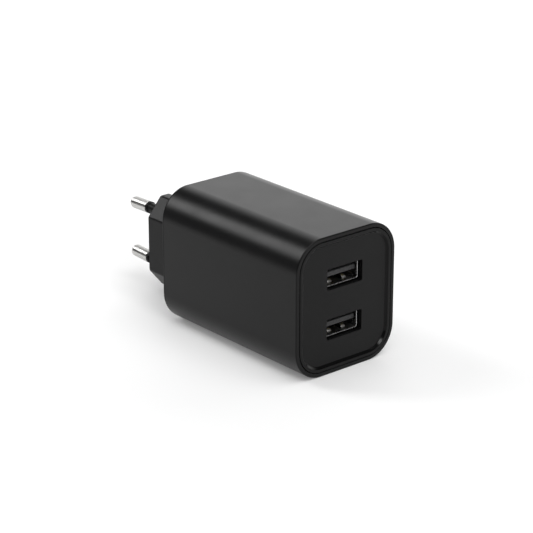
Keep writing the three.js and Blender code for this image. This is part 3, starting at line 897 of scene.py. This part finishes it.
def chip(node, up, legs):
    """A moulded chip with bent legs along two sides; up is the way its top faces."""
    low, high, centre = extent(node)
    up = Vector(up)
    across = Vector((1, 0, 0))
    size = high - low
    length = abs(size.dot(up.cross(across)))
    height = abs(size.dot(up))
    seat = 0.08
    waist = seat + (height - seat) * 0.45
    body_width = size.x - 1.3
    pieces = [chip_body(body_width, length, seat, waist, height)]
    half = body_width / 2
    pitch = length / legs
    section = rounded_rectangle(min(0.45, pitch * 0.5), 0.14, 0.03, 1)
    for side in (-1, 1):
        path = [(side * out, rise) for out, rise in (
            (half - 0.1, waist), (half + 0.16, waist), (half + 0.28, waist - 0.1),
            (half + 0.34, 0.22), (half + 0.42, 0.1), (size.x / 2 - 0.02, 0.08),
        )]
        for index in range(legs):
            place = Matrix.Translation((0, 0, ((index + 0.5) * pitch - length / 2) * MM)) @ LEG_TURN
            pieces.append(strip("leg", path, [section] * len(path), [lead_metal], place))
    piece = merged(f"{node}_package", pieces, [moulding_black, lead_metal])
    turn = Matrix((across, up, across.cross(up))).transposed().to_4x4()
    seat_point = centre - up * height / 2
    piece.data.transform(Matrix.Translation(seat_point * MM) @ turn)
    hand_over(piece, "charger", node)


def line_inductor():
    """A ferrite drum with wire between its flanges."""
    drum, wire = range(2)
    low, high, centre = extent("line_inductor")
    height = high.z - low.z
    flange = (high.x - low.x) / 2
    waist = flange - 0.55
    lower = [(flange - 0.15, 0, drum), (flange, 0.15, drum), (flange, 0.85, drum), (flange - 0.1, 1, drum)]
    profile = lower + [(waist, 1.02, wire), (waist + 0.15, 1.6, wire), (waist + 0.18, height / 2, wire)]
    profile += [(waist + 0.15, height - 1.6, wire), (waist, height - 1.02, drum)]
    profile += [(radius, height - y, drum) for radius, y, _ in reversed(lower)]
    matrix = Matrix.Translation(Vector((centre.x, centre.y, low.z)) * MM) @ UPRIGHT
    piece = turned("line_inductor_drum", profile, [ferrite, copper_wire], matrix)
    hand_over(piece, "charger", "line_inductor")


def fuse_resistor():
    """A waisted resistor with four colour bands."""
    coat, brown, black, gold, lead = range(5)
    low, high, centre = extent("fuse_resistor")
    half = (high.y - low.y) / 2
    cap = (high.z - low.z) / 2
    waist = cap - 0.3
    end = [(0.35, -half, lead), (0.4, -half + 0.03, coat), (cap - 0.45, -half + 0.06, coat)]
    end += [(cap - 0.12, -half + 0.35, coat), (cap, -half + 0.9, coat), (cap - 0.08, -half + 1.5, coat)]
    profile = end + [(waist, -half + 2.1, coat)]
    for start, paint in ((-2.0, brown), (-0.9, black), (0.2, brown), (1.6, gold)):
        profile += [(waist, start, paint), (waist, start + 0.6, coat)]
    profile += [(waist, half - 2.1, coat)]
    profile += [(radius, -y, coat) for radius, y, _ in reversed(end)]
    materials = [resistor_coat, *band_paint, lead_metal]
    piece = turned("fuse_resistor_body", profile, materials, Matrix.Translation(centre * MM))
    hand_over(piece, "charger", "fuse_resistor")


def y_capacitor():
    """A disc dipped in epoxy, with a blunt round edge."""
    low, high, centre = extent("y_capacitor")
    radius = (high.x - low.x) / 2
    half = (high.y - low.y) / 2
    profile = []
    for step in range(1, 16):
        angle = math.pi * step / 16
        profile.append((radius * math.sin(angle) ** 0.55, -half * math.cos(angle), 0))
    piece = turned("y_capacitor_disc", profile, [blue_epoxy], Matrix.Translation(centre * MM))
    hand_over(piece, "charger", "y_capacitor")


for node in ("input_capacitor_1", "input_capacitor_2", "output_capacitor_1", "output_capacitor_2"):
    capacitor(node)
for node, legs in (("bridge_rectifier", 2), ("controller_chip", 4), ("rectifier_chip", 4)):
    chip(node, (0, 0, -1), legs)
chip("port_chip", (0, 1, 0), 3)
chip("optocoupler", (0, 0, 1), 2)
line_inductor()
fuse_resistor()
y_capacitor()

# CAD shapes that are right as they are, with softened edges and their own materials.
KEPT = {
    ferrite: ("transformer_core_front", "transformer_core_rear"),
    dressed("wire_red", (0.4, 0.03, 0.025), 0.4, 0.5, 0.005): ("live_wire",),
    dressed("wire_blue", (0.03, 0.08, 0.35), 0.4, 0.5, 0.005): ("neutral_wire",),
    dressed("fibre_sheet", (0.62, 0.57, 0.47), 0.75, 0.35, 0.03): ("insulation_sheet",),
    wound("winding_tape", (0.62, 0.42, 0.05), 0.25, 3.0, 0.05, "Y"): ("transformer_winding",),
    board_material(): ("main_board", "usb_board"),
    sheet_steel: ("live_terminal", "neutral_terminal"),
    moulding_black: ("transformer_bobbin",),
}
for material, names in KEPT.items():
    for name in names:
        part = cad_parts[name]
        part.data.materials.clear()
        part.data.materials.append(material)
        bevel = part.modifiers.new("softened_edges", "BEVEL")
        bevel.width = 0.1 * MM
        bevel.segments = 2
        bevel.limit_method = "ANGLE"
        bevel.angle_limit = math.radians(40)

# ---- floor, light and camera -----------------------------------------------------------------

CAMERA_AZIMUTH = -40.227
CAMERA_ELEVATION = 21.005
CAMERA_DISTANCE = 602.7
CAMERA_LENS = 137.3
AIM_RIGHT = -23.586     # the view's centre, from the middle of the front face
AIM_UP = 10.112

# The table's corners in metres, as (to the camera's right, away from the camera).
TABLE_CORNERS = ((-0.25, -0.9), (2.0, -0.9), (2.0, 1.6), (-0.25, 1.6))
TABLE_GLOW = 0.18


def table():
    """A white table top that glows a little, as frosted acrylic lit from below."""
    floor_mesh = bpy.data.meshes.new("floor")
    azimuth = math.radians(CAMERA_AZIMUTH)
    right = Vector((math.cos(azimuth), math.sin(azimuth), 0))
    away = Vector((-right.y, right.x, 0))
    corners = [right * across + away * depth for across, depth in TABLE_CORNERS]
    floor_mesh.from_pydata([tuple(corner) for corner in corners], [], [(0, 1, 2, 3)])
    floor = bpy.data.objects.new("floor", floor_mesh)
    bpy.context.scene.collection.objects.link(floor)
    paper = Shader("floor_paper", (0.7, 0.7, 0.7), 0.6, ior=1.3)
    paper.vary_colour(40, 0.004)
    paper.base.inputs["Emission Color"].default_value = (1, 1, 1, 1)
    paper.base.inputs["Emission Strength"].default_value = TABLE_GLOW
    floor_mesh.materials.append(paper.material)
    bpy.context.scene.view_settings.view_transform = "Standard"


# Softboxes round the table, as (azimuth, elevation, half width, half height, edge, strength) in
# degrees. Azimuth 0 is behind the charger, +90 on its left.
SOFTBOXES = (
    (-66, 14, 43, 26, 9, 1.5),       # pale wall behind on the right
    (30, 37, 11, 16, 4, 7.4),        # upright strip behind on the left
    (0, 90, 180, 26, 12, 1.8),       # overhead box
    (178, 59, 60, 12, 8, 3.0),       # large box above the front
    (45, 0, 30, 12, 6, 0.15),        # dim wall behind on the left
    (166, 30, 10, 6, 4, 11.0),       # small lamp in front
)
AMBIENT = 0.09          # the light of the dim wall between the softboxes
BACKDROP = 0.985        # what the camera sees of the room


def light_room():
    """A studio round the charger: softboxes on a dim wall, which the camera sees as a plain backdrop."""
    world = bpy.data.worlds.new("studio")
    bpy.context.scene.world = world
    world.use_nodes = True
    nodes = world.node_tree.nodes
    links = world.node_tree.links

    def math_node(operation, first, second=None):
        node = nodes.new("ShaderNodeMath")
        node.operation = operation
        for socket, value in zip(node.inputs, (first, second)):
            if isinstance(value, (int, float)):
                socket.default_value = value
            elif value is not None:
                links.new(value, socket)
        return node.outputs["Value"]

    def inside(distance, half, edge):
        """1 within half of the middle, fading to 0 over the edge."""
        node = nodes.new("ShaderNodeMapRange")
        node.interpolation_type = "SMOOTHSTEP"
        node.inputs["From Min"].default_value = half + edge
        node.inputs["From Max"].default_value = half - edge
        links.new(distance, node.inputs["Value"])
        return node.outputs["Result"]

    axes = nodes.new("ShaderNodeSeparateXYZ")
    links.new(nodes.new("ShaderNodeTexCoord").outputs["Generated"], axes.inputs["Vector"])
    minus_x = math_node("MULTIPLY", axes.outputs["X"], -1)
    azimuth = math_node("MULTIPLY", math_node("ARCTAN2", minus_x, axes.outputs["Y"]), 180 / math.pi)
    elevation = math_node("MULTIPLY", math_node("ARCSINE", axes.outputs["Z"]), 180 / math.pi)
    light = AMBIENT
    for middle, height, half_width, half_height, edge, strength in SOFTBOXES:
        off = math_node("ABSOLUTE", math_node("SUBTRACT", azimuth, middle))
        wrapped = math_node("MINIMUM", off, math_node("SUBTRACT", 360, off))
        rise = math_node("ABSOLUTE", math_node("SUBTRACT", elevation, height))
        box = math_node("MULTIPLY", inside(wrapped, half_width, edge), inside(rise, half_height, edge))
        light = math_node("ADD", math_node("MULTIPLY", box, strength), light)
    background = nodes["Background"]
    background.inputs["Color"].default_value = (1, 1, 1, 1)
    path = nodes.new("ShaderNodeLightPath")
    seen = nodes.new("ShaderNodeMix")
    seen.inputs["B"].default_value = BACKDROP
    links.new(path.outputs["Is Camera Ray"], seen.inputs["Factor"])
    links.new(light, seen.inputs["A"])
    links.new(seen.outputs["Result"], background.inputs["Strength"])


def camera():
    """A long lens in front of the charger, above it and to its left."""
    azimuth = math.radians(CAMERA_AZIMUTH)
    elevation = math.radians(CAMERA_ELEVATION)
    back = Vector((
        math.sin(azimuth) * math.cos(elevation),
        -math.cos(azimuth) * math.cos(elevation),
        math.sin(elevation),
    ))
    right = Vector((math.cos(azimuth), math.sin(azimuth), 0))
    up = back.cross(right)
    face = Vector((0, FRONT, MIDDLE))
    data = bpy.data.cameras.new("camera")
    data.lens = CAMERA_LENS
    data.sensor_width = 36
    data.clip_start = 0.01
    view = bpy.data.objects.new("camera", data)
    view.location = (face + right * AIM_RIGHT + up * AIM_UP + back * CAMERA_DISTANCE) * MM
    view.rotation_euler = Matrix((right, up, back)).transposed().to_euler()
    bpy.context.scene.collection.objects.link(view)
    bpy.context.scene.camera = view


table()
light_room()
camera()
